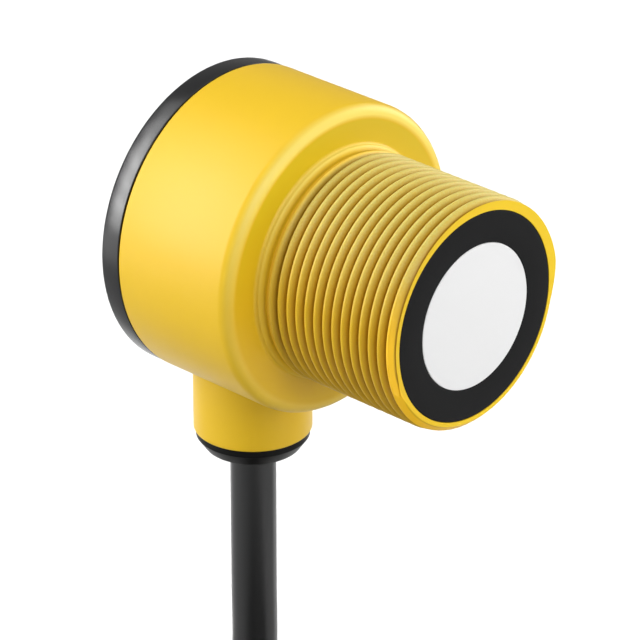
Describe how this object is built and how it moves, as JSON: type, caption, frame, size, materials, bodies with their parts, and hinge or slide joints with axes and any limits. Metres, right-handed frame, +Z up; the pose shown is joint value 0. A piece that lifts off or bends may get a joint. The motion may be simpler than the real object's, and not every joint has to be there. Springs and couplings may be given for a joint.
{
  "type": "ultrasonic proximity sensor",
  "caption": "Ultrasonic proximity sensor with a threaded barrel, a round body, a rear cover with push buttons and lights, and a cable that leaves downwards.",
  "frame": {"origin": "centre of the sensing face, on the barrel's axis", "axes": "-Y the way the sensor looks, +Y back to the cover, +Z up, cable leaves along -Z"},
  "size_m": [0.0903, 0.0927, 0.1243],
  "materials": {
    "housing_polyester": "satin moulded",
    "cup_elastomer": "matte",
    "matching_resin": "matte",
    "piezo_ceramic": "fired, silvered faces",
    "damping_silicone": "cast",
    "laminate_cap": "pressed laminate",
    "lead_enamel": "enamelled",
    "circuit_board": "solder mask",
    "ferrite": "sintered",
    "winding_copper": "enamelled wire",
    "header_nylon": "moulded",
    "chip_epoxy": "moulded epoxy",
    "capacitor_can": "drawn",
    "inner_wire_vinyl": "extruded",
    "screw_steel": "zinc plated",
    "led_resin": "cast resin",
    "lens_acrylic": "clear, polished",
    "switch_nylon": "moulded",
    "plunger_acetal": "moulded",
    "button_silicone": "matte",
    "cover_abs": "satin moulded",
    "seal_rubber": "matte",
    "gland_nylon": "moulded",
    "ferrule_brass": "turned",
    "cable_vinyl": "extruded, satin",
    "tie_nylon": "moulded, natural",
    "vinyl_brown": "extruded",
    "vinyl_blue": "extruded",
    "vinyl_black": "extruded",
    "vinyl_white": "extruded",
    "vinyl_grey": "extruded",
    "tinned_copper": "tinned strands"
  },
  "bodies": {
    "root": {"housing": "housing_polyester", "transducer_cup": "cup_elastomer", "matching_layer": "matching_resin", "piezo_disc": "piezo_ceramic", "damping_block": "damping_silicone", "cup_cap": "laminate_cap", "transducer_leads": "lead_enamel", "driver_board": "circuit_board", "transformer_core": "ferrite", "transformer_winding": "winding_copper", "barrel_link": "header_nylon", "main_board": "circuit_board", "controller_chip": "chip_epoxy", "signal_chips": "chip_epoxy", "capacitors": "capacitor_can", "inner_wires": "inner_wire_vinyl", "rear_link": "header_nylon", "display_board": "circuit_board", "board_screws": "screw_steel", "status_leds": "led_resin", "light_pipes": "lens_acrylic", "switch_left": "switch_nylon", "switch_right": "switch_nylon", "rear_cover": "cover_abs", "cover_gasket": "seal_rubber", "cable_gland": "gland_nylon", "gland_seal": "seal_rubber", "cable_ferrule": "ferrule_brass", "cable": "cable_vinyl", "cable_coil": "cable_vinyl", "cable_tie": "tie_nylon", "wire_brown": "vinyl_brown", "wire_blue": "vinyl_blue", "wire_black": "vinyl_black", "wire_white": "vinyl_white", "wire_grey": "vinyl_grey", "wire_tips": "tinned_copper"},
    "left_button": {"button_left": "button_silicone", "plunger_left": "plunger_acetal"},
    "right_button": {"button_right": "button_silicone", "plunger_right": "plunger_acetal"}
  },
  "joints": [
    {"name": "left_button_press", "type": "slide", "parent": "root", "child": "left_button", "axis": [0, -1, 0], "range_m": [0, 0.0005], "stiffness_N_per_m": 1500},
    {"name": "right_button_press", "type": "slide", "parent": "root", "child": "right_button", "axis": [0, -1, 0], "range_m": [0, 0.0005], "stiffness_N_per_m": 1500}
  ]
}
